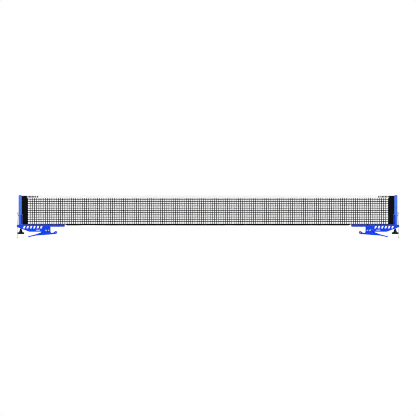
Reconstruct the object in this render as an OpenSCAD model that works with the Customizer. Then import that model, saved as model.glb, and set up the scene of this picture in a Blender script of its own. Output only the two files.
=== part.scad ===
// Table tennis net set: two sprung clamps with sliding posts, and the net between them.
// The origin is the middle of the net line at the level of the table top. +X runs along
// the net, +Z is up. One side is modelled with u measured outwards from the table's edge,
// and the other side is its mirror image.

/* [Table] */
// Width of the table between the two clamp throats
table_w = 1525; // [1200:1:1600]
// Play between the table's edge and each throat wall
table_play = 0.5; // [0.2:0.1:3]

/* [Clamp body] */
// Outer width of the pressed channel
body_w = 34; // [30:0.5:44]
// Thickness of the body's sheet steel
body_t = 1.8; // [1.2:0.1:2.5]
// Height of the body's top above the table
body_top = 10.7; // [9:0.1:14]
// Length of the upper jaw over the table
jaw_len = 69.5; // [50:0.5:90]
// Height of the upper jaw's steel edge above the table
jaw_edge = 1.2; // [0.6:0.1:2]
// Reach of the body outwards from the table's edge
body_reach = 163.6; // [160:0.1:175]
// Depth of the body's flat bottom below the table
body_depth = 23.5; // [22:0.1:28]
// Where the flat bottom ends and the slope up to the outer tip starts
chin_u = 102.5; // [90:0.5:110]

/* [Lever] */
// Distance of the lever's pivot outwards from the table's edge
pivot_u = 21.2; // [20:0.1:23]
// Depth of the lever's pivot below the table
pivot_depth = 17.4; // [17:0.1:18]
// Outer width of the lever's channel
lever_w = 29.6; // [26:0.1:30]
// Thickness of the lever's sheet steel
lever_t = 1.6; // [1.2:0.1:2]
// Radius of the rubber roller on the lower jaw
roller_r = 7.2; // [6.8:0.1:7.6]
// Wire diameter of the lever's torsion spring
wire_d = 1.8; // [1.2:0.1:2]

/* [Post] */
// Distance of the post's axis outwards from the table's edge
post_u = 146.8; // [145:0.1:148]
// Outer diameter of the post
post_d = 16; // [15:0.1:16.2]
// Wall of the post's tube
post_t = 1.5; // [1:0.1:2]
// Height of the tube's top above the table
post_top = 150.5; // [150:0.5:160]
// Height of the top of the fixed saddle round the post
saddle_top = 60; // [40:1:61]

/* [Height adjuster] */
// Diameter of the adjuster screw
screw_d = 5; // [4:0.5:5]
// Distance of the screw from the post's axis, towards the net
screw_offset = 3; // [0:0.1:3]
// Radius of the knob's disc
knob_r = 16.2; // [12:0.1:16.2]
// Height of the knob's disc
knob_h = 8.8; // [6:0.1:10]
// Number of finger flutes round the disc
flutes = 24; // [12:1:36]

/* [Net] */
// Height of the net's top edge above the table
net_top = 152.5; // [151:0.5:154]
// Depth of the white tape along the top
tape_h = 13; // [10:0.5:16]
// Height of the seam between the netting and the bottom band
band_top = 15.2; // [14:0.1:20]
// Height of the bottom band's edge between the clamps
band_low = 6.8; // [4:0.1:10]
// Diameter of the tension cord in the tape
cord_d = 2.4; // [2:0.1:2.6]
// Diameter of the ball chain
chain_d = 2.4; // [2:0.1:2.5]

/* [Hidden] */
$fn = 64;

// Half of the distance between the two throat walls
half_span = table_w / 2 + table_play;
// A little extra, so that cutters pass through what they cut
through = 1;
// Clearances: between still faces, and round a turning or sliding shaft
snug = 0.02;
running = 0.08;
sliding = 0.2;

// Body
inner_y = body_w / 2 - body_t;
web_under = body_top - body_t;
post_hole_r = post_d / 2 + sliding;
throat_wall_low = -13;
// Saddle round the post's foot, and the two feet that hold it on the body
saddle_r = [post_d / 2 + 0.25, post_d / 2 + 2.3];
saddle_arc = 146;
foot_u = [138.6, 144.6];
foot_half = 2.9;
foot_t = 1.5;
rivet_u = 141.6;
rivet_y = 11.8;
rivet_r = 1.25;

// Lever, as heights above the table and distances from its edge
pivot_z = -pivot_depth;
pivot_r = 3.2;
stop_u = 9.1;
stop_r = 2.5;
tip_u = -25.3;
tip_z = -26.7;
tip_pin_r = 2.5;
lever_inner_y = lever_w / 2 - lever_t;
// Corners of the lever's lower edge from the handle's end to the jaw
heel = [[108.2, -50.2], [72, -42.2], [-7, -36.3], [-31.7, -33.3]];
// The floor stops here, clear of the roller
floor_end = -17;

// Spring: each leg runs from the coil to a point under the web or on the lever's floor
coil_r = 5.4;
coil_turns = 4;
coil_pitch = wire_d + 0.1;
leg_gap = 0.15;
web_leg = [46, web_under - wire_d / 2 - leg_gap];
floor_leg = [50, lookup(50, heel) + lever_t + wire_d / 2 + leg_gap];
coil_steps = 16;

// Post and what is on it
tube_r = post_d / 2;
tube_bore = tube_r - post_t;
post_low = -0.9;
cap_h = 3.7;
cap_plug = 2.5;
cord_z = 146;
chain_hole_z = 72;
hook_low = [70, 130];
hook_h = 6;
hook_drop = 5;
hook_t = 1.8;
bar_t = 2;
bar_u = [114.5, 134.5];
bar_z = [13, 141];
bar_hole_in = 7;
nut_z = [1, 13];
lug_hole_u = 158.4;
lug_foot = [51.5, 58.2];
lug_top = 71;
lug_w = 8;

// Adjuster
screw_u = post_u - screw_offset;
plate_z = [-4, -2.2];
plate_u = [128, 153];
screw_z = [-30, 24];
collar_r = 4.6;
collar_low = -5.8;
clip_z = [-2.1, -1.1];
clip_r = 4.8;
clip_gap = 3.4;
groove_r = 1.9;
knob_top = -8.6;
disc_top = -26;
neck_r = 3.6;
skirt_r = 9.4;

// Net
sleeve_u = 109;
tape_end = 113.9;
sleeve_t = 5.6;
sleeve_low = body_top + 0.5;
bar_room = 0.4;
seam_z = net_top - tape_h;
net_half = half_span + sleeve_u;
net_t = 1;
band_t = 2;
band_slope = 8;
tape_t = 4;
seam_t = 3.2;
crimp_z = [82, 90];
crimp_r = 2.3;

// The chain inside the post, as u and z
inner_route = [[post_u, crimp_z[0]], [146.8, 78], [147.6, 74.5], [150, 72.6], [152.8, 72],
    [155.4, 71.2], [157.4, 69.2], [158.3, 66.3], [lug_hole_u, 62.5]];
// The free chain from the lug, over the body's front edge and down to its end, as u, y and z
chain_y = -body_w / 2 - chain_d / 2 - 0.3;
chain_route = [[lug_hole_u, 0, 62.5], [158.4, 0, 59.5], [158.2, -0.5, 57], [157.9, -1.4, 54.5],
    [157.6, -2.5, 51.9], [157.4, -3.5, 49.3], [157.7, -5.9, 42.6], [158.2, -8.4, 35.8],
    [158.8, -10.9, 29.1], [159.5, -13.3, 22.4], [160.2, -15.8, 15.6], [161, -18.2, 8.9],
    [161.1, -18.4, 8.2], [161.2, chain_y, 7.2], [161.3, chain_y, 2], [161.4, chain_y, -5],
    [161.4, chain_y, -12], [161.4, chain_y, -19], [161.4, chain_y, -26], [161.4, chain_y, -33],
    [161.4, chain_y, -40], [161.4, chain_y, -47]];
chain_end_z = -55;
chain_end_r = 1.9;

function unit(v) = v / norm(v);

// Points of a curve over one corner q, between p and s, with radius r
function bend(p, q, s, r, steps = 5) =
    let (
        a = unit(p - q),
        b = unit(s - q),
        half = acos(a * b) / 2,
        centre = q + unit(a + b) * r / sin(half),
        from = q + a * r / tan(half) - centre,
        turn = (cross(a, b) > 0 ? -1 : 1) * (180 - 2 * half)
    )
    [for (i = [0:steps])
        let (w = turn * i / steps)
        centre + [from[0] * cos(w) - from[1] * sin(w), from[0] * sin(w) + from[1] * cos(w)]];

// Outline through corners given as [x, y, radius]
function rounded(corners) =
    let (n = len(corners), at = [for (c = corners) [c[0], c[1]]])
    [for (i = [0:n - 1])
        each corners[i][2] == 0 ? [at[i]]
            : bend(at[(i + n - 1) % n], at[i], at[(i + 1) % n], corners[i][2])];

// Points of a quarter ellipse from [rx, 0] to [0, rz], for domes
function dome(rx, rz, z, steps = 6) =
    [for (i = [0:steps]) [rx * cos(90 * i / steps), z + rz * sin(90 * i / steps)]];

function ring(p, t, r, sides) =
    let (s = unit(cross(t, [0, 1, 0])), v = cross(s, t))
    [for (k = [0:sides - 1]) p + r * (cos(360 * k / sides) * s + sin(360 * k / sides) * v)];

// Round bar along a path whose course is never along Y
module tube(path, r, sides = 8) {
    n = len(path);
    tangents = [for (i = [0:n - 1]) unit(path[min(i + 1, n - 1)] - path[max(i - 1, 0)])];
    points = [for (i = [0:n - 1]) each ring(path[i], tangents[i], r, sides)];
    walls = [for (i = [0:n - 2], k = [0:sides - 1])
        let (next = (k + 1) % sides)
        [i * sides + k, i * sides + next, (i + 1) * sides + next, (i + 1) * sides + k]];
    start = [for (k = [0:sides - 1]) sides - 1 - k];
    end = [for (k = [0:sides - 1]) (n - 1) * sides + k];
    polyhedron(points, concat([start, end], walls), convexity = 10);
}

function flat_path(route) = [for (p = route) [p[0], 0, p[1]]];

module right_side() {
    translate([half_span, 0, 0]) children();
}

module left_side() {
    mirror([1, 0, 0]) right_side() children();
}

module both_sides() {
    right_side() children();
    left_side() children();
}

// Prism of a side view, u to the right and z up, centred across the clamp
module side_prism(width) {
    rotate([90, 0, 0]) linear_extrude(width, center = true) children();
}

// Rod across the clamp
module cross_rod(u, z, r, width) {
    translate([u, 0, z]) rotate([90, 0, 0]) cylinder(h = width, r = r, center = true);
}

// Rod along u
module long_rod(u, z, r) {
    translate([u[0], 0, z]) rotate([0, 90, 0]) cylinder(h = u[1] - u[0], r = r);
}

module block(u, y, z) {
    translate([u[0], -y, z[0]]) cube([u[1] - u[0], 2 * y, z[1] - z[0]]);
}

// Rivet across the clamp, with two domed heads outside a grip
module cross_rivet(u, z, shank_r, head_r, head_h, grip) {
    head = dome(head_r, head_h, grip / 2);
    profile = concat(
        [[0, -grip / 2 - head_h]],
        [for (i = [1:len(head) - 1]) let (p = head[len(head) - 1 - i]) [p[0], -p[1]]],
        [[shank_r, -grip / 2], [shank_r, grip / 2]],
        head
    );
    translate([u, 0, z]) rotate([90, 0, 0]) rotate_extrude() polygon(profile);
}

// --- Clamp body and what is fixed to it ---

body_outline = rounded([
    [-jaw_len, jaw_edge, 3],
    [-jaw_len, body_top, 1.5],
    [body_reach, body_top, 3.5],
    [body_reach, -0.6, 3],
    [chin_u, -body_depth, 8],
    [0, -body_depth, 1.5],
    [0, jaw_edge, 2]
]);

module channel_profile() {
    low = -body_depth - through;
    difference() {
        polygon(rounded([
            [-body_w / 2, low, 0],
            [body_w / 2, low, 0],
            [body_w / 2, body_top, 3.5],
            [-body_w / 2, body_top, 3.5]
        ]));
        polygon(rounded([
            [-inner_y, low - through, 0],
            [inner_y, low - through, 0],
            [inner_y, web_under, 1.7],
            [-inner_y, web_under, 1.7]
        ]));
    }
}

module clamp_body() {
    color("royalblue") difference() {
        union() {
            intersection() {
                side_prism(body_w + 2 * through) polygon(body_outline);
                translate([-jaw_len - through, 0, 0]) rotate([90, 0, 90])
                    linear_extrude(jaw_len + body_reach + 2 * through) channel_profile();
            }
            // Lip bent down between the side plates, for the table's edge to meet
            block([0, body_t], inner_y, [throat_wall_low, web_under]);
        }
        translate([post_u, 0, web_under - through])
            cylinder(h = body_t + 2 * through, r = post_hole_r);
        cross_rod(pivot_u, pivot_z, pivot_r + snug, body_w + 2 * through);
        cross_rod(stop_u, pivot_z, stop_r + snug, body_w + 2 * through);
        for (y = [-rivet_y, rivet_y])
            translate([rivet_u, y, web_under - through])
                cylinder(h = body_t + 2 * through, r = rivet_r + snug);
    }
}

module jaw_pad() {
    color("silver") {
        block([-jaw_len + 3, -4], inner_y - 2, [jaw_edge, web_under - 0.1]);
        block([-jaw_len + 4.6, -4], inner_y + 1.2, [0, jaw_edge]);
    }
}

module post_saddle() {
    color("mediumblue") difference() {
        union() {
            translate([post_u, 0, body_top]) rotate([0, 0, 180 - saddle_arc / 2])
                rotate_extrude(angle = saddle_arc) translate([saddle_r[0], 0])
                    square([saddle_r[1] - saddle_r[0], saddle_top - body_top]);
            for (y = [-rivet_y, rivet_y])
                translate([0, y, 0]) block(foot_u, foot_half, [body_top, body_top + foot_t]);
        }
        translate([post_u, 0, body_top - through])
            cylinder(h = foot_t + 2 * through, r = saddle_r[0]);
        for (y = [-rivet_y, rivet_y])
            translate([rivet_u, y, body_top - through])
                cylinder(h = foot_t + 2 * through, r = rivet_r + snug);
    }
}

module saddle_rivet() {
    low = web_under;
    high = body_top + foot_t;
    tail_r = 1.65;
    tail_h = 0.7;
    rotate_extrude() polygon(concat(
        [[0, low - tail_h], [tail_r, low - tail_h], [tail_r, low], [rivet_r, low], [rivet_r, high]],
        dome(1.95, 0.9, high)
    ));
}

module saddle_rivets() {
    color("silver") both_sides()
        for (y = [-rivet_y, rivet_y])
            translate([rivet_u, y, 0]) saddle_rivet();
}

module bearing_plate() {
    color("royalblue") difference() {
        block(plate_u, inner_y, plate_z);
        translate([screw_u, 0, plate_z[0] - through])
            cylinder(h = plate_z[1] - plate_z[0] + 2 * through, r = screw_d / 2 + running);
    }
}

module pivot_pins() {
    color("silver") both_sides() cross_rivet(pivot_u, pivot_z, pivot_r, 4, 1.5, body_w);
}

module stop_pins() {
    color("silver") both_sides() cross_rivet(stop_u, pivot_z, stop_r, 3, 1.3, body_w);
}

// --- Lever ---

lever_outline = rounded([
    [heel[3][0], heel[3][1], 6.2],
    [heel[3][0], -20.3, 6.2],
    [-23.2, -20.3, 6],
    [-12.5, -28.4, 5],
    [-2, -28.4, 2.4],
    [0.4, -20.1, 1.2],
    [13.1, -20.1, 0],
    [13.1, -9.4, 7],
    [29.3, -9.4, 7],
    [30.2, -20.6, 3],
    [42.5, -22.8, 3],
    [49, -27.7, 6],
    [78, -38.1, 30],
    [heel[0][0], -44.8, 2.2],
    [heel[0][0], heel[0][1], 2.2],
    [heel[1][0], heel[1][1], 40],
    [heel[2][0], heel[2][1], 30]
]);

module lever() {
    high = 20;
    color("royalblue") difference() {
        side_prism(lever_w) polygon(lever_outline);
        // The room between the cheeks, above the floor
        side_prism(2 * lever_inner_y) polygon([
            [heel[0][0] + through, heel[0][1] + lever_t],
            [heel[1][0], heel[1][1] + lever_t],
            [heel[2][0], heel[2][1] + lever_t],
            [floor_end, lookup(floor_end, heel) + lever_t],
            [floor_end, heel[0][1]],
            [heel[3][0] - through, heel[0][1]],
            [heel[3][0] - through, high],
            [heel[0][0] + through, high]
        ]);
        cross_rod(pivot_u, pivot_z, pivot_r + running, lever_w + 2 * through);
        cross_rod(tip_u, tip_z, tip_pin_r + snug, lever_w + 2 * through);
    }
}

module roller_pin() {
    color("silver") cross_rivet(tip_u, tip_z, tip_pin_r, 3.4, 0.9, lever_w);
}

module jaw_roller() {
    color("lightgray") difference() {
        cross_rod(tip_u, tip_z, roller_r, 2 * lever_inner_y - 0.6);
        cross_rod(tip_u, tip_z, tip_pin_r + snug, lever_w);
    }
}

// Angle on the coil where a straight leg to a point leaves it, on the side given
function tangent_angle(point, side) =
    let (v = point - [pivot_u, pivot_z])
    atan2(v[1], v[0]) + side * acos(coil_r / norm(v));

module lever_spring() {
    first = tangent_angle(web_leg, 1);
    last = tangent_angle(floor_leg, -1) + 360 * (coil_turns + 1);
    steps = round((last - first) / 360 * coil_steps);
    half_coil = coil_pitch * (last - first) / 720;
    coil = [for (i = [0:steps])
        let (w = first + (last - first) * i / steps)
        [pivot_u + coil_r * cos(w), half_coil * (2 * i / steps - 1), pivot_z + coil_r * sin(w)]];
    color("darkgray") tube(concat(
        [[web_leg[0], -half_coil, web_leg[1]]],
        coil,
        [[floor_leg[0], half_coil, floor_leg[1]]]
    ), wire_d / 2);
}

// --- Post and what slides with it ---

module post() {
    color("royalblue") difference() {
        translate([post_u, 0, post_low]) cylinder(h = post_top - post_low, r = tube_r);
        translate([post_u, 0, post_low - through])
            cylinder(h = post_top - post_low + 2 * through, r = tube_bore);
        // The cord goes in near the top, and the chain comes out on the other side
        long_rod([post_u - tube_r - through, post_u], cord_z, cord_d / 2 + 0.6);
        long_rod([post_u, post_u + tube_r + through], chain_hole_z, chain_d / 2 + 1);
        // Slots for the net bar's hooks
        for (z = hook_low)
            block([post_u - tube_r - through, post_u - 3], bar_t / 2 + sliding,
                [z - 0.1, z + hook_h + hook_drop + 0.5]);
    }
}

module post_cap() {
    plug_r = tube_bore - snug;
    color("dimgray") translate([post_u, 0, 0]) rotate_extrude() polygon(concat(
        [[0, post_top - cap_plug], [plug_r, post_top - cap_plug], [plug_r, post_top]],
        dome(tube_r, cap_h, post_top)
    ));
}

module post_nut() {
    color("goldenrod") difference() {
        translate([post_u, 0, nut_z[0]]) cylinder(h = nut_z[1] - nut_z[0], r = tube_bore - snug);
        translate([screw_u, 0, nut_z[0] - through])
            cylinder(h = nut_z[1] - nut_z[0] + 2 * through, r = screw_d / 2 + running);
    }
}

// Slanted lug on the post's outer side. A ball of the chain locks under its hole.
module chain_lug() {
    color("silver") difference() {
        side_prism(lug_w) polygon(rounded([
            [post_u, lug_foot[0], 0],
            [156.4, lug_foot[0], 0.8],
            [156.4, lug_foot[1] - 0.6, 1],
            [163.1, lug_top - 0.9, 0.7],
            [161.8, lug_top, 0.7],
            [154.8, lug_foot[1], 0],
            [post_u, lug_foot[1], 0]
        ]));
        translate([post_u, 0, 0]) cylinder(h = lug_top, r = tube_r);
        translate([lug_hole_u, 0, lug_foot[0]])
            cylinder(h = lug_top - lug_foot[0], r = chain_d / 2 + sliding);
    }
}

// Flat bar inside the net's sleeve, with two hooks into the post's slots
module net_bar() {
    wall_in = post_u - tube_bore;
    hook_end = wall_in + 0.6 + hook_t;
    color("royalblue") difference() {
        union() {
            block(bar_u, bar_t / 2, bar_z);
            for (z = hook_low) {
                block([bar_u[1], hook_end], bar_t / 2, [z, z + hook_h]);
                block([hook_end - hook_t, hook_end], bar_t / 2, [z - hook_drop, z + hook_h]);
            }
        }
        for (z = [bar_z[0] + bar_hole_in, bar_z[1] - bar_hole_in])
            cross_rod((bar_u[0] + bar_u[1]) / 2, z, 2, bar_t + 2 * through);
    }
}

// --- Height adjuster ---

module adjuster_knob() {
    bell_steps = 8;
    bell = [for (i = [0:bell_steps])
        let (w = i / bell_steps)
        [neck_r + (skirt_r - neck_r) * (0.8 * w + 0.2 * w * w), knob_top + (disc_top - knob_top) * w]];
    rim = 1.2;
    disc_low = disc_top - knob_h;
    color([0.06, 0.07, 0.08]) translate([screw_u, 0, 0]) difference() {
        rotate_extrude() polygon(concat(
            [[0, knob_top]],
            bell,
            [[knob_r - rim, disc_top], [knob_r, disc_top - rim], [knob_r, disc_low + rim],
             [knob_r - rim, disc_low], [knob_r - 4, disc_low], [knob_r - 5, disc_low + 0.8],
             [0, disc_low + 0.8]]
        ));
        translate([0, 0, screw_z[0]]) cylinder(h = -screw_z[0], r = screw_d / 2 + snug);
        for (i = [0:flutes - 1])
            rotate([0, 0, 360 * (i + 0.5) / flutes]) translate([knob_r + 0.5, 0, disc_low - through])
                cylinder(h = knob_h + 2 * through, r = 1.3);
    }
}

module adjuster_screw() {
    color("silver") translate([screw_u, 0, 0]) rotate_extrude() polygon([
        [0, screw_z[0]],
        [screw_d / 2, screw_z[0]],
        [screw_d / 2, collar_low],
        [collar_r, collar_low],
        [collar_r, plate_z[0] - 0.1],
        [screw_d / 2, plate_z[0] - 0.1],
        [screw_d / 2, clip_z[0]],
        [groove_r, clip_z[0]],
        [groove_r, clip_z[1]],
        [screw_d / 2, clip_z[1]],
        [screw_d / 2, screw_z[1] - 0.8],
        [screw_d / 2 - 0.8, screw_z[1]],
        [0, screw_z[1]]
    ]);
}

module screw_clip() {
    clip_t = clip_z[1] - clip_z[0];
    color("dimgray") translate([screw_u, 0, clip_z[0]]) difference() {
        cylinder(h = clip_t, r = clip_r);
        translate([0, 0, -through]) cylinder(h = clip_t + 2 * through, r = groove_r);
        translate([0, -clip_gap / 2, -through])
            cube([clip_r + through, clip_gap, clip_t + 2 * through]);
    }
}

// --- Net ---

module top_tape() {
    half = half_span + tape_end;
    color("white") translate([-half, 0, 0]) rotate([90, 0, 90]) linear_extrude(2 * half)
        difference() {
            polygon(rounded([
                [-seam_t / 2, seam_z, 0.4],
                [seam_t / 2, seam_z, 0.4],
                [tape_t / 2, net_top - 4, 0],
                [tape_t / 2, net_top, 1.9],
                [-tape_t / 2, net_top, 1.9],
                [-tape_t / 2, net_top - 4, 0]
            ]));
            translate([0, cord_z]) circle(r = cord_d / 2 + 0.1);
        }
}

module netting() {
    color([0.1, 0.1, 0.1, 0.6])
        block([-net_half, net_half], net_t / 2, [band_top, seam_z]);
}

module bottom_band() {
    over = half_span - jaw_len - 3;
    color([0.05, 0.06, 0.07]) side_prism(band_t) polygon([
        [-net_half, band_top],
        [-net_half, sleeve_low],
        [-over, sleeve_low],
        [-over + band_slope, band_low],
        [over - band_slope, band_low],
        [over, sleeve_low],
        [net_half, sleeve_low],
        [net_half, band_top]
    ]);
}

module sleeve() {
    wide = 138.5;
    narrow = 136;
    step_z = saddle_top + 1;
    top = net_top - 1.5;
    color([0.05, 0.06, 0.07]) difference() {
        side_prism(sleeve_t) polygon([
            [sleeve_u, sleeve_low],
            [narrow, sleeve_low],
            [narrow, step_z],
            [wide, step_z + 1.2],
            [wide, top],
            [tape_end, top],
            [tape_end, seam_z],
            [sleeve_u, seam_z]
        ]);
        block([bar_u[0] - bar_room, bar_u[1] + bar_room], bar_t / 2 + bar_room,
            [sleeve_low - through, top - 1.2]);
        for (z = hook_low)
            block([bar_u[1], wide + through], bar_t / 2 + bar_room,
                [z - bar_room, z + hook_h + bar_room]);
        long_rod([tape_end - through, wide + through], cord_z, cord_d / 2 + 0.2);
    }
}

module top_cord() {
    r = 5;
    down = half_span + post_u;
    right_half = concat(
        [for (i = [0:5]) [down - r + r * sin(18 * i), 0, cord_z - r + r * cos(18 * i)]],
        [[down, 0, crimp_z[1]]]
    );
    left_half = [for (i = [1:len(right_half)])
        let (p = right_half[len(right_half) - i]) [-p[0], p[1], p[2]]];
    color("white") tube(concat(left_half, right_half), cord_d / 2, 10);
}

module cord_crimps() {
    color("silver") both_sides() translate([post_u, 0, crimp_z[0]])
        cylinder(h = crimp_z[1] - crimp_z[0], r = crimp_r);
}

module inner_chain() {
    color("silver") tube(flat_path(inner_route), chain_d / 2);
}

module chain() {
    color("silver") tube(chain_route, chain_d / 2);
}

module chain_end() {
    low = chain_end_z;
    last = chain_route[len(chain_route) - 1];
    high = last[2];
    color("silver") translate([last[0], last[1], 0]) rotate_extrude() polygon([
        [0, low],
        [chain_end_r - 0.6, low],
        [chain_end_r, low + 0.7],
        [chain_end_r, high - 0.7],
        [chain_end_r - 0.6, high],
        [0, high]
    ]);
}

left_side() clamp_body();  // left_clamp_body
right_side() clamp_body();  // right_clamp_body
left_side() jaw_pad();  // left_jaw_pad
right_side() jaw_pad();  // right_jaw_pad
left_side() post_saddle();  // left_post_saddle
right_side() post_saddle();  // right_post_saddle
left_side() bearing_plate();  // left_bearing_plate
right_side() bearing_plate();  // right_bearing_plate
saddle_rivets();
pivot_pins();
stop_pins();
left_side() lever();  // left_lever
right_side() lever();  // right_lever
left_side() roller_pin();  // left_roller_pin
right_side() roller_pin();  // right_roller_pin
left_side() jaw_roller();  // left_jaw_roller
right_side() jaw_roller();  // right_jaw_roller
left_side() lever_spring();  // left_lever_spring
right_side() lever_spring();  // right_lever_spring
left_side() post();  // left_post
right_side() post();  // right_post
left_side() post_cap();  // left_post_cap
right_side() post_cap();  // right_post_cap
left_side() post_nut();  // left_post_nut
right_side() post_nut();  // right_post_nut
left_side() chain_lug();  // left_chain_lug
right_side() chain_lug();  // right_chain_lug
left_side() net_bar();  // left_net_bar
right_side() net_bar();  // right_net_bar
left_side() adjuster_knob();  // left_adjuster_knob
right_side() adjuster_knob();  // right_adjuster_knob
left_side() adjuster_screw();  // left_adjuster_screw
right_side() adjuster_screw();  // right_adjuster_screw
left_side() screw_clip();  // left_screw_clip
right_side() screw_clip();  // right_screw_clip
top_tape();
netting();
bottom_band();
left_side() sleeve();  // left_sleeve
right_side() sleeve();  // right_sleeve
top_cord();
cord_crimps();
left_side() inner_chain();  // left_inner_chain
right_side() inner_chain();  // right_inner_chain
left_side() chain();  // left_chain
right_side() chain();  // right_chain
left_side() chain_end();  // left_chain_end
right_side() chain_end();  // right_chain_end
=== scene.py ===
import math
import random

import bmesh
import bpy
import numpy as np
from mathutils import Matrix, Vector, noise


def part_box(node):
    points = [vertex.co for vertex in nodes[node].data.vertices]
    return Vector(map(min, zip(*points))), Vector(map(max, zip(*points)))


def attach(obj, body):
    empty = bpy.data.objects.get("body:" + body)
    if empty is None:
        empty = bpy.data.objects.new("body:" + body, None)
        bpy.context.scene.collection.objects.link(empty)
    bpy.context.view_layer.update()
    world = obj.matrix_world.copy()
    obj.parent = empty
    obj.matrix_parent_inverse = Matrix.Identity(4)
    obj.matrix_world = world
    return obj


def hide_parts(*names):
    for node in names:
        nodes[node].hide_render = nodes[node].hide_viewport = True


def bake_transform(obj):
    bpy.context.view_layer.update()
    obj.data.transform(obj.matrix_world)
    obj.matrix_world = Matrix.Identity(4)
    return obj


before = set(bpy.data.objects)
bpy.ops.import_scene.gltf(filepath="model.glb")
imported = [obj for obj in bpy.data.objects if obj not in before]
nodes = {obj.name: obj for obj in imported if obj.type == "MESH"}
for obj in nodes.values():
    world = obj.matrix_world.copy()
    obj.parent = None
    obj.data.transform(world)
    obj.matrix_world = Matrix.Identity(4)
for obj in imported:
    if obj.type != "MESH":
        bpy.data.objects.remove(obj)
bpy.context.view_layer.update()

MM = 0.001
scene = bpy.context.scene
SIDES = {"left": -1, "right": 1}
# The bodies that most pieces ride on
FIXED, CARRIED = "clamp_frames", "net_and_posts"

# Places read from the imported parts, in metres
body_low, body_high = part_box("right_clamp_body")
throat_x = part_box("right_jaw_pad")[1].x + 4 * MM    # the pad ends 4 mm before the throat's wall
tape_low, tape_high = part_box("top_tape")
net_low, net_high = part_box("netting")
band_low, band_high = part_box("bottom_band")


# --- Camera, lights and floor ---

# The camera looks level from the front: the width that it sees, and its height
VIEW_WIDTH, VIEW_HEIGHT = 2.0155, 0.0915
FLOOR_REACH, FLOOR_LEVEL = 20, -0.55
# The backdrop's strength as it lights the object, and as the camera sees it
BACKDROP_LIGHT, BACKDROP_SEEN = 0.34, 1.0


def make_camera():
    data = bpy.data.cameras.new("camera")
    data.type = "ORTHO"
    data.ortho_scale = VIEW_WIDTH
    camera = bpy.data.objects.new("camera", data)
    camera.location = (0, -4, VIEW_HEIGHT)
    camera.rotation_euler = (math.radians(90), 0, 0)
    data.clip_end = 50
    scene.collection.objects.link(camera)
    scene.camera = camera


def area_light(name, place, size, power, target=(0, 0, 0.05)):
    data = bpy.data.lights.new(name, "AREA")
    data.shape = "RECTANGLE"
    data.size, data.size_y = size
    data.energy = power
    light = bpy.data.objects.new(name, data)
    light.location = place
    light.rotation_euler = (Vector(target) - Vector(place)).to_track_quat("-Z", "Y").to_euler()
    scene.collection.objects.link(light)


def make_studio():
    """White backdrop, a pale floor, and soft light from both front corners and behind."""
    world = bpy.data.worlds.new("studio")
    world.use_nodes = True
    tree = world.node_tree
    background = tree.nodes["Background"]
    background.inputs["Color"].default_value = (1, 1, 1, 1)
    strength = add(tree, "ShaderNodeMapRange")
    strength.inputs["To Min"].default_value = BACKDROP_LIGHT
    strength.inputs["To Max"].default_value = BACKDROP_SEEN
    tree.links.new(add(tree, "ShaderNodeLightPath").outputs["Is Camera Ray"], strength.inputs["Value"])
    tree.links.new(strength.outputs["Result"], background.inputs["Strength"])
    scene.world = world
    scene.view_settings.view_transform = "Standard"
    scene.cycles.filter_width = 1.0
    for sign in (-1, 1):
        area_light(f"key_{sign}", (sign * 2.4, -2.4, 2.0), (1.2, 1.0), 74, (sign * 0.3, 0, 0.05))
    area_light("back", (0.3, 2.6, 1.7), (2.2, 0.8), 30)
    mesh = bpy.data.meshes.new("floor")
    mesh.from_pydata([(x * FLOOR_REACH, y * FLOOR_REACH, FLOOR_LEVEL)
                      for x, y in ((-1, -1), (1, -1), (1, 1), (-1, 1))], [], [(0, 1, 2, 3)])
    floor = bpy.data.objects.new("floor", mesh)
    scene.collection.objects.link(floor)
    floor.data.materials.append(plain_material("floor", (0.86, 0.86, 0.86), 0.7))


# --- Materials ---

def new_material(name):
    material = bpy.data.materials.new(name)
    material.use_nodes = True
    tree = material.node_tree
    return material, tree, tree.nodes["Principled BSDF"]


def plain_material(name, colour, roughness):
    material, _, shader = new_material(name)
    shader.inputs["Base Color"].default_value = (*colour, 1)
    shader.inputs["Roughness"].default_value = roughness
    return material


def add(tree, kind, **values):
    node = tree.nodes.new(kind)
    for key, value in values.items():
        if key in node.inputs:
            node.inputs[key].default_value = value
        else:
            setattr(node, key, value)
    return node


def coordinates(tree, scale=(1, 1, 1), turn=(0, 0, 0)):
    """Object coordinates, stretched and turned."""
    mapping = add(tree, "ShaderNodeMapping")
    mapping.inputs["Scale"].default_value = scale
    mapping.inputs["Rotation"].default_value = turn
    tree.links.new(add(tree, "ShaderNodeTexCoord").outputs["Object"], mapping.inputs["Vector"])
    return mapping.outputs["Vector"]


def noise_of(tree, where, scale, detail, roughness=0.5):
    texture = add(tree, "ShaderNodeTexNoise", Scale=scale, Detail=detail, Roughness=roughness)
    tree.links.new(where, texture.inputs["Vector"])
    return texture.outputs["Fac"]


# A wave texture of this scale has one wave to the metre
WAVE_PERIOD = math.tau / 20


def wave_of(tree, where, scale, direction, distortion=0.0):
    texture = add(tree, "ShaderNodeTexWave", Scale=scale, Distortion=distortion)
    texture.bands_direction = direction
    tree.links.new(where, texture.inputs["Vector"])
    return texture.outputs["Fac"]


def scaled(colour, factor):
    return tuple(factor * c for c in colour)


def grey(value):
    return (value, value, value)


def ramp_of(tree, value, *stops):
    """Colours or greys along a value; stops are (place, colour)."""
    ramp = add(tree, "ShaderNodeValToRGB")
    while len(ramp.color_ramp.elements) < len(stops):
        ramp.color_ramp.elements.new(0.5)
    for element, (place, colour) in zip(ramp.color_ramp.elements, stops):
        element.position = place
        element.color = (*colour, 1)
    tree.links.new(value, ramp.inputs["Fac"])
    return ramp.outputs["Color"]


def vary(tree, shader, socket, value, *stops):
    tree.links.new(ramp_of(tree, value, *stops), shader.inputs[socket])


def combine(tree, a, b, how):
    node = add(tree, "ShaderNodeMath", operation=how)
    tree.links.new(a, node.inputs[0])
    if isinstance(b, (int, float)):
        node.inputs[1].default_value = b
    else:
        tree.links.new(b, node.inputs[1])
    return node.outputs["Value"]


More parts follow.
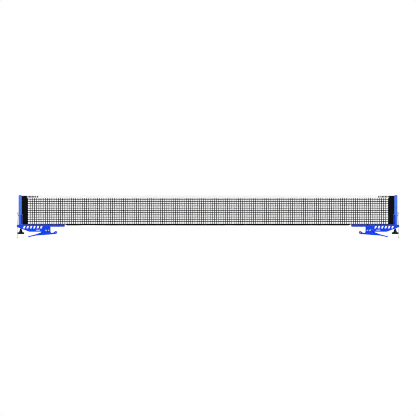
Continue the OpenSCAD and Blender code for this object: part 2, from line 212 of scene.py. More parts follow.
def bump(tree, shader, height, strength, distance):
    node = add(tree, "ShaderNodeBump", Strength=strength, Distance=distance)
    tree.links.new(height, node.inputs["Height"])
    tree.links.new(node.outputs["Normal"], shader.inputs["Normal"])


def powder_coat(name, colour, edge, roughness, gloss, coat):
    """Powder-coated steel: orange-peel skin, faint mottling, edges rubbed a little lighter."""
    material, tree, shader = new_material(name)
    shader.inputs["Specular IOR Level"].default_value = gloss
    where = coordinates(tree)
    peel = noise_of(tree, where, 900, 2, 0.6)
    mottle = noise_of(tree, where, 60, 3)
    base = ramp_of(tree, mottle, (0.35, scaled(colour, 0.88)), (0.65, scaled(colour, 1.08)))
    worn = ramp_of(tree, add(tree, "ShaderNodeNewGeometry").outputs["Pointiness"],
                   (0.53, grey(0.0)), (0.62, grey(1.0)))
    scuff = combine(tree, worn, noise_of(tree, where, 260, 4, 0.7), "MULTIPLY")
    mix = add(tree, "ShaderNodeMix", data_type="RGBA")
    tree.links.new(scuff, mix.inputs["Factor"])
    tree.links.new(base, mix.inputs["A"])
    mix.inputs["B"].default_value = (*edge, 1)
    tree.links.new(mix.outputs["Result"], shader.inputs["Base Color"])
    vary(tree, shader, "Roughness", mottle, (0.3, grey(roughness - 0.05)), (0.7, grey(roughness + 0.07)))
    shader.inputs["Coat Weight"].default_value = coat
    shader.inputs["Coat Roughness"].default_value = 0.18
    bump(tree, shader, peel, 0.16, 0.00025)
    return material


def metal(name, colour, roughness, strength=0.12):
    """Plated or bare metal with a fine grain and a few dull patches."""
    material, tree, shader = new_material(name)
    where = coordinates(tree)
    patches = noise_of(tree, where, 180, 4, 0.6)
    fine = noise_of(tree, coordinates(tree, (400, 400, 400)), 6, 2)
    vary(tree, shader, "Base Color", patches, (0.3, scaled(colour, 0.78)), (0.7, colour))
    vary(tree, shader, "Roughness", patches, (0.3, grey(roughness + 0.12)), (0.7, grey(roughness)))
    shader.inputs["Metallic"].default_value = 1.0
    bump(tree, shader, fine, strength, 0.0001)
    return material


def moulded(name, colour, roughness, grain_scale, strength, gloss):
    """Moulded plastic or rubber with a fine pebbled skin."""
    material, tree, shader = new_material(name)
    shader.inputs["Specular IOR Level"].default_value = gloss
    where = coordinates(tree)
    cells = add(tree, "ShaderNodeTexVoronoi", Scale=grain_scale)
    tree.links.new(where, cells.inputs["Vector"])
    cloud = noise_of(tree, where, 120, 3)
    vary(tree, shader, "Base Color", cloud, (0.3, scaled(colour, 0.8)), (0.7, scaled(colour, 1.15)))
    vary(tree, shader, "Roughness", cloud, (0.3, grey(roughness - 0.06)), (0.7, grey(roughness + 0.06)))
    bump(tree, shader, cells.outputs["Distance"], strength, 0.0002)
    return material


def woven(name, colour, pitch, roughness, sheen, contrast, strength=0.6, gloss=0.5):
    """Plain weave on faces that look along Y: warp and weft threads that take turns on top."""
    material, tree, shader = new_material(name)
    where = coordinates(tree)
    scale = WAVE_PERIOD / pitch
    warp = wave_of(tree, where, scale, "X")
    weft = wave_of(tree, where, scale, "Z")
    checks = add(tree, "ShaderNodeTexChecker", Scale=1 / pitch)
    tree.links.new(where, checks.inputs["Vector"])
    mix = add(tree, "ShaderNodeMix", data_type="FLOAT")
    tree.links.new(checks.outputs["Fac"], mix.inputs["Factor"])
    tree.links.new(warp, mix.inputs["A"])
    tree.links.new(weft, mix.inputs["B"])
    height = mix.outputs["Result"]
    cloud = noise_of(tree, where, 90, 4, 0.6)
    # Base colour: painted shade, darker in the hollows between threads and lighter on their crowns, mixed
    # with random tone from the cloud
    hollow_shade_and_tone = combine(tree, combine(tree, height, 0.35, "MULTIPLY"),
                    combine(tree, cloud, 0.65, "MULTIPLY"), "ADD")
    vary(tree, shader, "Base Color", hollow_shade_and_tone, (0.25, scaled(colour, 1 - contrast)),
         (0.75, scaled(colour, 1 + contrast)))
    shader.inputs["Roughness"].default_value = roughness
    shader.inputs["Specular IOR Level"].default_value = gloss
    shader.inputs["Sheen Weight"].default_value = sheen
    shader.inputs["Sheen Roughness"].default_value = 0.5
    bump(tree, shader, height, strength, 0.00022)
    return material


def braided(name, colour, direction, pitch, gloss=0.5):
    """Twisted cord: slanting plies across the strand."""
    material, tree, shader = new_material(name)
    slant = {"Z": (0, math.radians(35), 0), "X": (0, math.radians(-55), 0)}[direction]
    where = coordinates(tree, turn=slant)
    plies = wave_of(tree, where, WAVE_PERIOD / pitch, "Z", 0.6)
    cloud = noise_of(tree, where, 300, 3)
    vary(tree, shader, "Base Color", cloud, (0.3, scaled(colour, 0.6)), (0.7, scaled(colour, 1.6)))
    shader.inputs["Roughness"].default_value = 0.7
    shader.inputs["Specular IOR Level"].default_value = gloss
    bump(tree, shader, plies, 0.8, 0.0004)
    return material


def ink(name, colour):
    """Printed mark, thinly and unevenly inked."""
    material, tree, shader = new_material(name)
    patches = noise_of(tree, coordinates(tree), 500, 4, 0.7)
    vary(tree, shader, "Base Color", patches, (0.3, scaled(colour, 0.94)), (0.6, colour))
    shader.inputs["Roughness"].default_value = 0.5
    return material


BLUE = (0.0012, 0.043, 0.72)
POST_BLUE = (0.050, 0.150, 0.72)
BLACK = (0.0022, 0.0032, 0.0042)
M = {
    "blue_steel": powder_coat("blue_steel", BLUE, (0.04, 0.13, 0.8), 0.5, 0.07, 0.0),
    "blue_post": powder_coat("blue_post", POST_BLUE, (0.14, 0.28, 0.85), 0.34, 0.3, 0.1),
    "steel": metal("steel", (0.64, 0.64, 0.58), 0.36),
    "spring_steel": metal("spring_steel", (0.30, 0.30, 0.32), 0.38),
    "pad_rubber": moulded("pad_rubber", (0.44, 0.45, 0.46), 0.72, 1400, 0.35, 0.3),
    "cap_plastic": moulded("cap_plastic", (0.10, 0.12, 0.15), 0.5, 1800, 0.2, 0.4),
    "knob_plastic": moulded("knob_plastic", BLACK, 0.45, 1600, 0.3, 0.12),
    "brass": metal("brass", (0.70, 0.50, 0.22), 0.3),
    "net_upright": braided("net_upright", BLACK, "Z", 1.1 * MM, gloss=0.05),
    "net_across": braided("net_across", BLACK, "X", 1.1 * MM, gloss=0.05),
    "white_tape": woven("white_tape", (0.79, 0.79, 0.785), 0.9 * MM, 0.6, 0.05, 0.05, 0.3),
    "black_webbing": woven("black_webbing", BLACK, 0.8 * MM, 0.8, 0.0, 0.5, gloss=0.05),
    "thread_white": braided("thread_white", (0.80, 0.80, 0.79), "X", 0.5 * MM),
    "thread_black": braided("thread_black", (0.008, 0.009, 0.010), "Z", 0.5 * MM, gloss=0.1),
    "cord": braided("cord", (0.75, 0.75, 0.73), "X", 0.9 * MM),
    "chain": metal("chain", (0.30, 0.275, 0.235), 0.3, strength=0.03),
    "lug_steel": metal("lug_steel", (0.30, 0.27, 0.23), 0.4),
    "pin_steel": metal("pin_steel", (0.26, 0.30, 0.36), 0.42),
    "white_ink": ink("white_ink", (0.84, 0.88, 0.95)),
    "dark_ink": ink("dark_ink", (0.02, 0.022, 0.03)),
}


# --- Mesh helpers ---

def linked(name, mesh):
    piece = bpy.data.objects.new(name, mesh)
    scene.collection.objects.link(piece)
    return piece


class Builder:
    """Gathers vertices and faces of many small shapes for one piece."""

    def __init__(self):
        self.vertices, self.faces, self.indices = [], [], []

    def put(self, vertices, faces, index=0):
        start = len(self.vertices)
        self.vertices.extend(vertices)
        self.faces.extend(tuple(start + i for i in face) for face in faces)
        self.indices.extend([index] * len(faces))

    def tube(self, path, radii, sides, index=0, reference=(0, 1, 0)):
        """Round bar along a path, closed at its ends; the reference is never along its course."""
        path = np.asarray(path, float)
        radii = np.broadcast_to(radii, len(path))
        course = np.gradient(path, axis=0)
        course /= np.linalg.norm(course, axis=1)[:, None]
        across = np.cross(course, np.array(reference, float))
        across /= np.linalg.norm(across, axis=1)[:, None]
        up = np.cross(course, across)
        turns = np.arange(sides) * 2 * math.pi / sides
        rings = (path[:, None] + radii[:, None, None] * (np.cos(turns)[None, :, None] * across[:, None]
                 + np.sin(turns)[None, :, None] * up[:, None]))
        n = len(path)
        faces = [(i * sides + k, i * sides + (k + 1) % sides, (i + 1) * sides + (k + 1) % sides,
                  (i + 1) * sides + k) for i in range(n - 1) for k in range(sides)]
        faces.append(tuple(reversed(range(sides))))
        faces.append(tuple((n - 1) * sides + k for k in range(sides)))
        self.put(rings.reshape(-1, 3).tolist(), faces, index)

    def loft(self, rings):
        """Skin over rings of the same number of points, closed at its ends."""
        n = len(rings[0])
        faces = [(i * n + k, (i + 1) * n + k, (i + 1) * n + (k + 1) % n, i * n + (k + 1) % n)
                 for i in range(len(rings) - 1) for k in range(n)]
        faces.append(tuple(range(n)))
        faces.append(tuple((len(rings) - 1) * n + k for k in reversed(range(n))))
        self.put([p for ring in rings for p in ring], faces)

    def ball(self, centre, radii, around, along):
        """Ellipsoid with its poles along Y."""
        vertices = [(centre[0], centre[1] - radii[1], centre[2])]
        for j in range(1, along):
            w = math.pi * j / along
            for k in range(around):
                t = 2 * math.pi * k / around
                vertices.append((centre[0] + radii[0] * math.sin(w) * math.cos(t),
                                 centre[1] - radii[1] * math.cos(w),
                                 centre[2] + radii[2] * math.sin(w) * math.sin(t)))
        vertices.append((centre[0], centre[1] + radii[1], centre[2]))
        last = len(vertices) - 1
        faces = [(0, 1 + k, 1 + (k + 1) % around) for k in range(around)]
        for j in range(along - 2):
            a = 1 + j * around
            faces += [(a + k, a + around + k, a + around + (k + 1) % around, a + (k + 1) % around)
                      for k in range(around)]
        a = 1 + (along - 2) * around
        faces += [(last, a + (k + 1) % around, a + k) for k in range(around)]
        self.put(vertices, faces)

    def block(self, low, high):
        x, y, z = zip(low, high)
        vertices = [(x[i], y[j], z[k]) for i in (0, 1) for j in (0, 1) for k in (0, 1)]
        faces = [(0, 1, 3, 2), (4, 6, 7, 5), (0, 4, 5, 1), (2, 3, 7, 6), (0, 2, 6, 4), (1, 5, 7, 3)]
        self.put(vertices, faces)

    def piece(self, name, materials, smooth=True):
        mesh = bpy.data.meshes.new(name)
        mesh.from_pydata([tuple(v) for v in self.vertices], [], self.faces)
        mesh.validate()
        for m in materials:
            mesh.materials.append(M[m])
        mesh.polygons.foreach_set("material_index", self.indices)
        mesh.polygons.foreach_set("use_smooth", [smooth] * len(mesh.polygons))
        mesh.update()
        return linked(name, mesh)


def finish_piece(piece, body, slot_name, *replaced):
    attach(piece, body)
    if replaced:
        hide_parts(*replaced)
    return piece


def fix_normals(piece):
    bm = bmesh.new()
    bm.from_mesh(piece.data)
    bmesh.ops.recalc_face_normals(bm, faces=bm.faces)
    bm.to_mesh(piece.data)
    bm.free()
    return piece


def round_edges(piece, width):
    edge = piece.modifiers.new("edges", "BEVEL")
    edge.width = width
    edge.segments = 2
    edge.limit_method = "ANGLE"
    return edge


def bevelled(node, name, body, slot_name, material, width):
    """A copy of a CAD node with its sharp edges rounded over, which stands for it."""
    mesh = nodes[node].data.copy()
    mesh.name = name
    bm = bmesh.new()
    bm.from_mesh(mesh)
    bmesh.ops.remove_doubles(bm, verts=bm.verts, dist=1e-6)
    bmesh.ops.dissolve_limit(bm, angle_limit=math.radians(0.5), verts=bm.verts, edges=bm.edges)
    bm.to_mesh(mesh)
    bm.free()
    if "custom_normal" in mesh.attributes:
        mesh.attributes.remove(mesh.attributes["custom_normal"])
    mesh.materials.clear()
    mesh.materials.append(M[material])
    mesh.polygons.foreach_set("use_smooth", [True] * len(mesh.polygons))
    piece = linked(name, mesh)
    round_edges(piece, width).harden_normals = True
    return finish_piece(piece, body, slot_name, node)


# --- The chains ---

CHAIN_D = 2.4 * MM
BALL_PITCH = 3.3 * MM
LINK_R = 0.35 * MM
# From the lug, over the body's front edge, to the chain's end: distance outwards from the table's edge,
# distance across and height, in mm
CHAIN_ROUTE = [(158.4, 0, 62.5), (158.4, 0, 59.5), (158.2, -0.5, 57), (157.9, -1.4, 54.5),
               (157.6, -2.5, 51.9), (157.4, -3.5, 49.3), (157.7, -5.9, 42.6), (158.2, -8.4, 35.8),
               (158.8, -10.9, 29.1), (159.5, -13.3, 22.4), (160.2, -15.8, 15.6), (161, -18.2, 8.9),
               (161.1, -18.4, 8.2), (161.2, -18.5, 7.2), (161.3, -18.5, 2), (161.4, -18.5, -5),
               (161.4, -18.5, -12), (161.4, -18.5, -19), (161.4, -18.5, -26), (161.4, -18.5, -33),
               (161.4, -18.5, -40), (161.4, -18.5, -47)]
# The stretch that comes out of the post and over to the lug's hole
INNER_ROUTE = [(147.6, 0, 74.5), (150, 0, 72.6), (152.8, 0, 72), (155.4, 0, 71.2), (157.4, 0, 69.2),
               (158.3, 0, 66.3), (158.4, 0, 62.5)]


def placed(route, sign):
    return [Vector((sign * (throat_x + u * MM), y * MM, z * MM)) for u, y, z in route]


def length_of(path):
    return sum((b - a).length for a, b in zip(path, path[1:]))


def along(path, pitch):
    """Points about a pitch apart along a line of points, with one at each end."""
    total = length_of(path)
    count = round(total / pitch)
    points, walked, at = [], 0.0, 0
    for k in range(count + 1):
        target = total * k / count
        while at < len(path) - 2 and walked + (path[at + 1] - path[at]).length < target:
            walked += (path[at + 1] - path[at]).length
            at += 1
        step = (path[at + 1] - path[at]).length
        points.append(path[at].lerp(path[at + 1], min(1, (target - walked) / step)))
    return points


def ball_chain(name, path, node):
    made = Builder()
    centres = along(path, BALL_PITCH)
    for c in centres:
        made.ball(c, (CHAIN_D / 2,) * 3, 12, 8)
    made.tube([tuple(c) for c in centres], LINK_R, 6)
    return finish_piece(made.piece(name, ["chain"]), CARRIED, "chain", node)


def chain_fitting(name, path, node):
    """Bell-shaped coupling crimped on the last ball."""
    low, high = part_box(node)
    top = path[-1]
    length, radius = high.z - low.z, (high.x - low.x) / 2
    shape = [(0.0, 0.35), (0.04, 0.62), (0.12, 0.92), (0.5, 1.0), (0.62, 0.86), (0.7, 1.0), (0.88, 1.0),
             (0.96, 0.8), (1.0, 0.4)]
    made = Builder()
    made.tube([(top.x, top.y, high.z - w * length) for w, _ in shape], [r * radius for _, r in shape], 20)
    return finish_piece(made.piece(name, ["chain"]), CARRIED, "chain", node)


def make_chains():
    for side, sign in SIDES.items():
        path = placed(CHAIN_ROUTE, sign)
        chain = ball_chain(f"{side}_ball_chain", path, f"{side}_chain")
        fitting = chain_fitting(f"{side}_chain_coupling", path, f"{side}_chain_end")
        ball_chain(f"{side}_ball_chain_inner", placed(INNER_ROUTE, sign), f"{side}_inner_chain")


# --- The net ---

PITCH_Z = 10.8 * MM
PITCH_X = 10.5 * MM
STRAND_R = 1.8 * MM
KNOT_R, KNOT_DEPTH = 2.4 * MM, 2.0 * MM
NET_WEAVE = 0.1 * MM        # uprights bow back by this and the others bow forward
NET_TUCK = 1 * MM           # length of each upright inside the tape, and inside the band
STITCH_R = 0.25 * MM


def make_netting():
    """Square-mesh netting: cords up and across with a knot at each crossing."""
    rng = random.Random(7)
    made = Builder()
    half = net_high.x
    low, high = net_low.z - NET_TUCK, net_high.z + NET_TUCK
    columns = round(2 * half / PITCH_X) - 1
    rows = int((net_high.z - net_low.z) / PITCH_Z)
    step = 2 * half / (columns + 1)
    knots = {}
    for i in range(1, columns + 1):
        drift = rng.uniform(-0.35, 0.35) * MM
        for j in range(1, rows + 1):
            knots[i, j] = (-half + i * step + drift + rng.uniform(-0.3, 0.3) * MM, 0,
                           net_low.z + j * PITCH_Z + rng.uniform(-0.3, 0.3) * MM)
    for i in range(1, columns + 1):
        first, last = knots[i, 1], knots[i, rows]
        line = [(first[0], 0, low), *[knots[i, j] for j in range(1, rows + 1)], (last[0], 0, high)]
        path = []
        for a, b in zip(line, line[1:]):
            bow = rng.uniform(-0.25, 0.25) * MM
            path += [a, ((a[0] + b[0]) / 2 + bow, NET_WEAVE, (a[2] + b[2]) / 2)]
        path.append(line[-1])
        made.tube(path, STRAND_R, 6)
    for j in range(1, rows + 1):
        line = [(-half, 0, knots[1, j][2]), *[knots[i, j] for i in range(1, columns + 1)],
                (half, 0, knots[columns, j][2])]
        path = []
        for a, b in zip(line, line[1:]):
            bow = rng.uniform(-0.35, 0.1) * MM
            path += [a, ((a[0] + b[0]) / 2, -NET_WEAVE, (a[2] + b[2]) / 2 + bow)]
        path.append(line[-1])
        made.tube(path, STRAND_R, 6, 1)
    for centre in knots.values():
        size = rng.uniform(0.95, 1.1)
        made.ball(centre, (KNOT_R * size, KNOT_DEPTH, KNOT_R * size), 8, 5)
    net = finish_piece(made.piece("net_mesh", ["net_upright", "net_across"]), CARRIED, "net_cord", "netting")


def strip(name, material, profile, xs, wave, node):
    """A closed profile of (y, z) points drawn along X; wave gives each ring's own shift of a point."""
    made = Builder()
    made.loft([[(x, y + wave(x, y, z)[0], z + wave(x, y, z)[1]) for y, z in profile] for x in xs])
    return finish_piece(made.piece(name, [material]), CARRIED, material, node)


def ripple(seed, x, size, length):
    return size * noise.noise(Vector((x / length, seed * 7.3, 0.5)))


def folded_profile(outer, wall):
    """Cross-section of cloth folded over, as (y, z) points, from (half width, height) pairs that run
    up from the hem to the fold; the cloth is wall thick and open at the hem."""
    inner = [(max(0.0, y - wall), min(z, outer[-1][1] - wall)) for y, z in outer]
    ring = outer + [(-y, z) for y, z in reversed(outer[:-1])]
    return ring + [(-y, z) for y, z in inner[:-1]] + list(reversed(inner))


# The tape's side: half thickness and height above the hem, in mm, up to the fold
TAPE_HEIGHT = 13
TAPE_SIDE = [(1.62, 0), (1.66, 1.2), (1.6, 3), (1.68, 5), (1.85, 7), (2.0, 9.6), (1.9, 11.2), (1.45, 12.3),
             (0.8, 12.85), (0.0, TAPE_HEIGHT)]
TAPE_WALL = 0.5 * MM


def tape_face(x, z):
    """Half thickness of the tape at a height, and how far its waves move it across and up."""
    up = (z - tape_low.z) / (tape_high.z - tape_low.z)
    half = float(np.interp(up * TAPE_HEIGHT, [h for _, h in TAPE_SIDE], [w for w, _ in TAPE_SIDE])) * MM
    return half, ripple(1, x, 0.5 * MM, 0.05) * (1 - up), ripple(2, x, 0.5 * MM, 0.035) * (1 - up) ** 2


def make_tape():
    half = tape_high.x
    xs = np.linspace(-half, half, 420)
    unit = (tape_high.z - tape_low.z) / TAPE_HEIGHT
    profile = folded_profile([(w * MM, tape_low.z + h * unit) for w, h in TAPE_SIDE], TAPE_WALL)
    tape = strip("top_tape_cloth", "white_tape", profile, xs, lambda x, y, z: tape_face(x, z)[1:], "top_tape")
    made = Builder()
    height = tape_low.z + 2.2 * MM
    pitch, stitch = 4.2 * MM, 3.0 * MM
    count = int(2 * half / pitch) - 1
    for i in range(count):
        x = -half + (i + 1) * pitch
        side_y, across, up = tape_face(x, height)
        for face in (-1, 1):
            y, z = face * side_y + across, height + up
            made.tube([(x - stitch / 2, y - face * STITCH_R, z), (x - stitch / 3, y, z),
                       (x + stitch / 3, y, z), (x + stitch / 2, y - face * STITCH_R, z)],
                      STITCH_R, 5, reference=(0, 0, 1))
    stitches = finish_piece(made.piece("tape_stitches", ["thread_white"]), CARRIED, "white_tape")


# The cloth hangs this much lower than the CAD's, down to just over the clamps
FOOT_DROP = 0.4 * MM


def make_band():
    """Black webbing folded over the net's lower edge; lower between the clamps than over them."""
    half, top = band_high.x, band_high.z
    over_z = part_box("right_sleeve")[0].z - FOOT_DROP
    over_x = body_low.x - 3 * MM
    ease = 8 * MM
    xs = np.linspace(-half, half, 500)

    def bottom(x):
        w = min(1, max(0, (abs(x) - (over_x - ease)) / ease))
        return band_low.z + (over_z - band_low.z) * w * w * (3 - 2 * w)

    # Half thickness in mm, and height as a share of the band's
    outer = [(0.98, 1.0), (1.0, 0.85), (1.0, 0.4), (0.92, 0.12), (0.55, 0.02), (0.0, 0.0)]
    profile = outer + [(-y, z) for y, z in reversed(outer[:-1])]
    profile += [(-max(0, y - 0.4), max(z, 0.1)) for y, z in outer[:-1]]
    profile += [(max(0, y - 0.4), max(z, 0.1)) for y, z in reversed(outer)]

    def wave(x, y, z):
        free = 0.0 if abs(x) > over_x else 1.0
        low = bottom(x) + free * max(0.0, ripple(3, x, 1.4 * MM, 0.06)) * (1 - z)
        return (ripple(4, x, 0.6 * MM, 0.08) * (1 - z) * free - y + y * MM, low + (top - low) * z - z)

    band = strip("bottom_webbing", "black_webbing", profile, xs, wave, "bottom_band")


# The sleeve: thickness of its cloth, half thickness at its sewn edges, outer edge beside the saddle as
# a distance from the table's edge, and how far its two rows of stitches are from its edges
SLEEVE_WALL = 0.6 * MM
SLEEVE_RIM = 0.95 * MM
SLEEVE_NARROW = 136.4 * MM
SLEEVE_SEAMS = 3.2 * MM, 2.4 * MM


def make_sleeve(side, sign):
    """End sleeve: a flat sewn pocket over the net bar, open at its foot."""
    low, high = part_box(f"{side}_sleeve")
    low.z -= FOOT_DROP
    inner_x = min(abs(low.x), abs(high.x))
    wide = max(abs(low.x), abs(high.x)) + 0.25 * MM
    narrow = throat_x + SLEEVE_NARROW
    step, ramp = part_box(f"{side}_post_saddle")[1].z + 0.3 * MM, 0.7 * MM
    height = high.z - low.z
    even = 64
    levels = sorted([low.z + height * j / even for j in range(even + 1)] + [step, step + ramp])
    columns, rows = 14, len(levels) - 1
    wrinkle_seed = 3.0 if side == "left" else 11.0

    def edges(z):
        """Inner and outer edge of the sleeve at a height."""
        w = min(1, max(0, (z - step) / ramp))
        outer = narrow + (wide - narrow) * w
        v = min(1, max(0, (z - tape_low.z) / (1 * MM)))
        return inner_x + (tape_high.x - inner_x) * v, outer

    def thickness(s, t, z):
        """Half thickness at a share of the width and of the height: full over the bar, pinched beside it."""
        full = (high.y - low.y) / 2 - SLEEVE_RIM - 0.25 * MM
        pinch = min(1.0, 6.72 * s) * min(1.0, 5 * (1 - s))
        wrinkle = 0.35 * MM * noise.noise(Vector((s * 2.2, z / (14 * MM), wrinkle_seed)))
        close = min(1.0, (1 - t) * 14 + 0.15)
        return SLEEVE_RIM + (full * math.sqrt(max(0, pinch)) + wrinkle * pinch) * close

    made = Builder()
    skins = []
    for inset in (0.0, SLEEVE_WALL):
        ring = []
        for z in levels:
            t = (z - low.z) / height
            if inset:
                z = min(z, high.z - SLEEVE_WALL)
            a, b = edges(z)
            a, b = a + inset, b - inset
            row = []
            for face, ks in ((-1, range(columns + 1)), (1, range(columns, -1, -1))):
                for k in ks:
                    s = k / columns
                    row.append((sign * (a + (b - a) * s), face * (thickness(s, t, z) - inset), z))
            ring.append(row)
        skins.append(ring)
    n = 2 * (columns + 1)

    def grid(offset, flip):
        out = []
        for j in range(rows):
            for k in range(n):
                a, b = offset + j * n + k, offset + j * n + (k + 1) % n
                quad = (a, b, b + n, a + n)
                out.append(quad[::-1] if flip else quad)
        return out

    size = (rows + 1) * n
    flip = sign < 0
    faces = grid(0, flip) + grid(size, not flip)
    for k in range(n):
        a, b = k, (k + 1) % n
        quad = (b, a, size + a, size + b)
        faces.append(quad[::-1] if flip else quad)
    top_outer, top_inner = rows * n, size + rows * n
    for start, turned in ((top_outer, flip), (top_inner, not flip)):
        for k in range(columns):
            quad = (start + k, start + k + 1, start + n - 2 - k, start + n - 1 - k)
            faces.append(quad[::-1] if turned else quad)
    made.put([p for skin in skins for row in skin for p in row], faces)
    sleeve = finish_piece(made.piece(f"{side}_net_sleeve", ["black_webbing"]), CARRIED, "black_webbing",
                          f"{side}_sleeve")
    seams = Builder()
    pitch, stitch = 4.0 * MM, 2.8 * MM
    count = int(height / pitch) - 1
    inner_seam, outer_seam = SLEEVE_SEAMS
    for i in range(count):
        z = low.z + (i + 1) * pitch
        a, b = edges(z)
        for x, s in ((a + inner_seam, inner_seam / (b - a)), (b - outer_seam, 1 - outer_seam / (b - a))):
            for face in (-1, 1):
                y = face * (thickness(s, (z - low.z) / height, z) + 0.05 * MM)
                seams.tube([(sign * x, y - face * 0.3 * MM, z - stitch / 2), (sign * x, y, z - stitch / 3),
                            (sign * x, y, z + stitch / 3), (sign * x, y - face * 0.3 * MM, z + stitch / 2)],
                           STITCH_R, 5)
    thread = finish_piece(seams.piece(f"{side}_sleeve_stitches", ["thread_black"]), CARRIED, "black_webbing")


# --- Printed marks ---

# The body's bars, in mm outwards from the table's edge and up: the first one's sides, the step to the
# next, the height of them all, and a small bar under them
FIRST_BAR, BAR_STEP, BARS = (43, 51), 16.4, 6
BAR_FOOT, BAR_TOP = -7.2, 4.2
SMALL_BAR = (52, 71, -17.2, -14.4)
# The tape's dashes from its end inwards, in mm: width and the gap after it, and the distance of their
# feet and tops below the tape's top
DASHES = [(5.6, 1.7), (4.8, 1.7), (6.4, 1.7), (4.8, 1.7), (5.6, 1.7), (5.2, 4.0), (6.5, 0)]
DASH_FOOT, DASH_TOP = 10.4, 2.2
BAR_LEAN, DASH_LEAN = 0.35, 0.12
# The ink's back and front, from the face that it is on
INK = 0.02 * MM, 0.1 * MM


def slanted_bars(name, bars, face_at, body, slot_name, material, lean, face, sign):
    """Slanted bars printed on a face; each is (x from, x to, z from, z to) and leans by lean of its
    height. face_at gives the face's half thickness and its shifts across and up at a place."""
    made = Builder()
    across, up = 3, 5
    for x0, x1, z0, z1 in bars:
        layers = []
        for lift in INK:
            for j in range(up + 1):
                for i in range(across + 1):
                    x = sign * (x0 + (x1 - x0) * i / across + lean * (z1 - z0) * j / up)
                    z = z0 + (z1 - z0) * j / up
                    half, shift_y, shift_z = face_at(x, z)
                    layers.append((x, face * (half + lift) + shift_y, z + shift_z))
        row, layer = across + 1, (across + 1) * (up + 1)
        faces = []
        for j in range(up):
            for i in range(across):
                a = j * row + i
                faces.append((a, a + 1, a + row + 1, a + row))
                faces.append((layer + a + row, layer + a + row + 1, layer + a + 1, layer + a))
        rim = list(range(across)) + [j * row + across for j in range(up)]
        rim += [up * row + i for i in range(across, 0, -1)] + [j * row for j in range(up, 0, -1)]
        for a, b in zip(rim, rim[1:] + rim[:1]):
            faces.append((b, a, layer + a, layer + b))
        made.put(layers, faces)
    return fix_normals(finish_piece(made.piece(name, [material], smooth=False), body, slot_name))


def make_marks():
    start, end = FIRST_BAR
    row = [(start + BAR_STEP * i, end + BAR_STEP * i, BAR_FOOT, BAR_TOP) for i in range(BARS)]
    bars = [(throat_x + a * MM, throat_x + b * MM, low * MM, high * MM)
            for a, b, low, high in row + [SMALL_BAR]]
    dashes, x = [], tape_high.x - 1.5 * MM
    for width, gap in DASHES:
        dashes.append((x - width * MM, x, tape_high.z - DASH_FOOT * MM, tape_high.z - DASH_TOP * MM))
        x -= (width + gap) * MM
    for side, sign in SIDES.items():
        for face, label in ((-1, "front"), (1, "back")):
            slanted_bars(f"{side}_{label}_bars", bars, lambda x, z: (body_high.y, 0, 0), FIXED, "blue_steel",
                         "white_ink", BAR_LEAN * sign * -face, face, sign)
            slanted_bars(f"{side}_{label}_tape_dashes", dashes, tape_face, CARRIED, "white_tape", "dark_ink",
                         DASH_LEAN * sign * -face, face, sign)


# --- Metal, plastic and rubber parts ---

# Family of parts on each side: body it rides on, record's slot, material, width of its rounded edges in mm
SIDE_PARTS = {
    "clamp_body": (FIXED, "blue_steel", "blue_steel", 0.35),
    "bearing_plate": (FIXED, "blue_steel", "blue_steel", 0.2),
    "post_saddle": (FIXED, "blue_steel", "blue_steel", 0.3),
    "lever": ("lever", "blue_steel", "blue_steel", 0.3),
    "roller_pin": ("lever", "steel", "pin_steel", 0.15),
    "post": (CARRIED, "blue_post", "blue_post", 0.25),
    "post_cap": (CARRIED, "cap_plastic", "cap_plastic", 0.4),
    "post_nut": (CARRIED, "brass", "brass", 0.3),
    "net_bar": (CARRIED, "blue_steel", "blue_steel", 0.3),
    "chain_lug": (CARRIED, "steel", "lug_steel", 0.3),
    "adjuster_knob": ("adjuster", "knob_plastic", "knob_plastic", 0.5),
    "adjuster_screw": ("adjuster", "steel", "steel", 0.2),
    "screw_clip": ("adjuster", "spring_steel", "spring_steel", 0.15),
}
SHARED_PARTS = {
    "saddle_rivets": (FIXED, "steel", "steel", 0.15),
    "pivot_pins": (FIXED, "steel", "steel", 0.15),
    "stop_pins": (FIXED, "steel", "steel", 0.15),
    "cord_crimps": (CARRIED, "chain", "chain", 0.3),
}


def make_steel_and_plastic():
    for family, (body, slot_name, material, edge) in SIDE_PARTS.items():
        for side in SIDES:
            rides = body if body in (FIXED, CARRIED) else f"{side}_{body}"
            bevelled(f"{side}_{family}", f"{side}_{family}_finished", rides, slot_name, material, edge * MM)
    for node, (body, slot_name, material, edge) in SHARED_PARTS.items():
        bevelled(node, f"{node}_finished", body, slot_name, material, edge * MM)


# Distances outwards from the table's edge: the lever's pivot, and the ends of its spring's two legs
PIVOT_U, WEB_LEG_U, FLOOR_LEG_U = 21.2 * MM, 46 * MM, 50 * MM


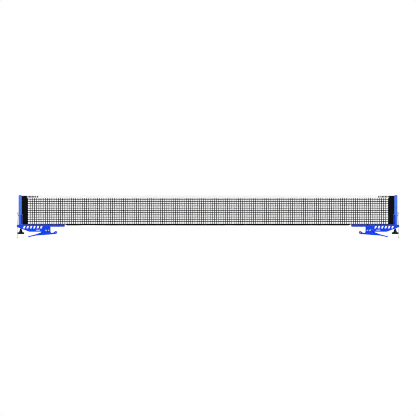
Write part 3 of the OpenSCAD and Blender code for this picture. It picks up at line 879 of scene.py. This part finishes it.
def make_springs():
    """Torsion spring: one leg under the body's web, the coil round the pivot, one leg on the lever."""
    wire = 1.8 * MM
    coil_r, turns, pitch = 5.4 * MM, 4, 1.9 * MM
    steps, leg_steps = 260, 8
    for side, sign in SIDES.items():
        low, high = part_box(f"{side}_lever_spring")
        pin_low, pin_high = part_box("pivot_pins")
        pivot = Vector((sign * (throat_x + PIVOT_U), 0, (pin_low.z + pin_high.z) / 2))
        web_leg = Vector((throat_x + WEB_LEG_U, high.z - wire / 2))
        floor_leg = Vector((throat_x + FLOOR_LEG_U, low.z + wire / 2))

        def leaves_at(point, way):
            """Angle on the coil where a straight leg to a point leaves it."""
            to = point - Vector((abs(pivot.x), pivot.z))
            return math.atan2(to.y, to.x) + way * math.acos(coil_r / to.length)

        first = leaves_at(web_leg, 1)
        last = leaves_at(floor_leg, -1) + math.tau * (turns + 1)
        wide = pitch * (last - first) / math.tau / 2
        coil = []
        for i in range(steps + 1):
            w = first + (last - first) * i / steps
            coil.append(Vector((abs(pivot.x) + coil_r * math.cos(w), wide * (2 * i / steps - 1),
                                pivot.z + coil_r * math.sin(w))))
        start, end = Vector((web_leg.x, -wide, web_leg.y)), Vector((floor_leg.x, wide, floor_leg.y))
        path = [start.lerp(coil[0], k / leg_steps) for k in range(leg_steps)] + coil
        path += [coil[-1].lerp(end, k / leg_steps) for k in range(1, leg_steps + 1)]
        made = Builder()
        made.tube([(sign * x, sign * y, z) for x, y, z in path], wire / 2, 10)
        spring = made.piece(f"{side}_torsion_spring", ["spring_steel"])
        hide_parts(f"{side}_lever_spring")
        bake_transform(spring)


def make_rollers():
    """Rubber roller on the lower jaw, with shallow grooves round it and rounded ends."""
    sides = 40
    for side in SIDES:
        low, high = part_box(f"{side}_jaw_roller")
        centre = (low + high) / 2
        r, half = (high.x - low.x) / 2, (high.y - low.y) / 2
        # Radius, and place along the axis
        profile = [(r - 1.4 * MM, -half), (r - 0.5 * MM, -half + 0.15 * MM), (r, -half + 0.8 * MM)]
        grooves, groove_w, groove_d = 7, 0.9 * MM, 0.45 * MM
        first = -half + 2 * MM
        gap = 2 * (half - 2 * MM) / (grooves - 1)
        for i in range(grooves):
            y = first + i * gap
            profile += [(r, y - groove_w / 2), (r - groove_d, y - groove_w / 4),
                        (r - groove_d, y + groove_w / 4), (r, y + groove_w / 2)]
        profile += [(r, half - 0.8 * MM), (r - 0.5 * MM, half - 0.15 * MM), (r - 1.4 * MM, half)]
        made = Builder()
        made.loft([[(centre.x + radius * math.cos(w), centre.y + y, centre.z + radius * math.sin(w))
                    for w in (math.tau * k / sides for k in range(sides))] for radius, y in profile])
        fix_normals(finish_piece(made.piece(f"{side}_roller_rubber", ["pad_rubber"]), f"{side}_lever",
                                 "pad_rubber", f"{side}_jaw_roller"))


def make_pads():
    """Rubber pad clipped under the upper jaw: a body inside the channel and a ribbed sole."""
    for side, sign in SIDES.items():
        low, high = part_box(f"{side}_jaw_pad")
        inner, outer = sorted((abs(low.x), abs(high.x)))
        made = Builder()
        sole_top = 1.15 * MM
        groove_w, groove_d, pitch = 1.2 * MM, 0.55 * MM, 3.4 * MM
        start, end = inner + 1.6 * MM, outer
        wide = high.y
        outline = [(start, sole_top), (start, 0.4 * MM), (start + 0.4 * MM, 0)]
        x = start + pitch
        while x < end - pitch:
            outline += [(x - groove_w / 2, 0), (x - groove_w / 4, groove_d), (x + groove_w / 4, groove_d),
                        (x + groove_w / 2, 0)]
            x += pitch
        outline += [(end - 0.4 * MM, 0), (end, 0.4 * MM), (end, sole_top)]
        n = len(outline)
        vertices = [(sign * x, y, z) for y in (-wide, wide) for x, z in outline]
        faces = [(k, (k + 1) % n, (k + 1) % n + n, k + n) for k in range(n)]
        faces += [tuple(range(n)), tuple(2 * n - 1 - k for k in range(n))]
        made.put(vertices, faces)
        body_y = wide - 3.2 * MM
        made.block((min(sign * inner, sign * outer), -body_y, sole_top),
                   (max(sign * inner, sign * outer), body_y, high.z))
        pad = fix_normals(finish_piece(made.piece(f"{side}_pad_rubber", ["pad_rubber"], smooth=False), FIXED,
                                       "pad_rubber", f"{side}_jaw_pad"))
        round_edges(pad, 0.2 * MM)


def make_top_cord():
    """Braided tension cord: along the tape, over into each post and down to its crimp."""
    low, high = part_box("top_cord")
    r = (high.y - low.y) / 2
    level, bend = high.z - r, 5 * MM
    end_x, foot = high.x - r, low.z
    half = [(end_x - bend + bend * math.sin(w), 0, level - bend + bend * math.cos(w))
            for w in (math.radians(9 * k) for k in range(11))]
    half += [(end_x, 0, level - bend - (level - bend - foot) * k / 6) for k in range(1, 7)]
    straight = [(x, 0, level) for x in np.linspace(-(end_x - bend), end_x - bend, 60)[1:-1]]
    path = [(-x, y, z) for x, y, z in reversed(half)] + straight + half
    made = Builder()
    made.tube(path, r, 14)
    finish_piece(made.piece("braided_cord", ["cord"]), CARRIED, "cord", "top_cord")


make_camera()
make_chains()
make_studio()
make_netting()
make_tape()
make_band()
for side, sign in SIDES.items():
    make_sleeve(side, sign)
make_marks()
make_steel_and_plastic()
make_springs()
make_rollers()
make_pads()
make_top_cord()
